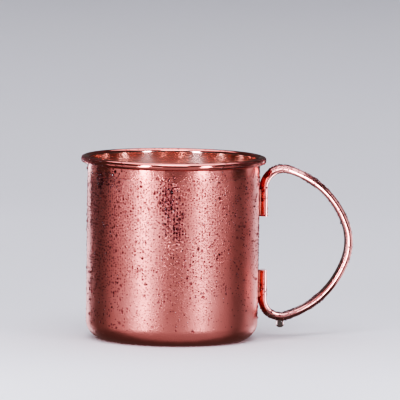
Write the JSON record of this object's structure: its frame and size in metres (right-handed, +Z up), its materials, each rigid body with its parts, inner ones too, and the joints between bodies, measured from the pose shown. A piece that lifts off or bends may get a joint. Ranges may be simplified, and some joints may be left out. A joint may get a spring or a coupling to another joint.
{
  "type": "copper mug",
  "caption": "Straight-sided copper mug with a rolled rim, rounded base corner and a large brazed D-loop handle.",
  "frame": {"origin": "centre of the flat base, on the surface the mug stands on", "axes": "+Z up along the cup's axis, +X from the cup's axis towards the handle, +Y across the handle"},
  "size_m": [0.1409, 0.0944, 0.0938],
  "materials": {
    "satin_copper": "satin",
    "polished_copper": "polished",
    "braze_filler": "matte",
    "water_drops": "gloss"
  },
  "bodies": {
    "root": {"cup_shell": "satin_copper", "handle": "polished_copper", "upper_braze_seam": "braze_filler", "lower_braze_seam": "braze_filler"}
  },
  "joints": []
}
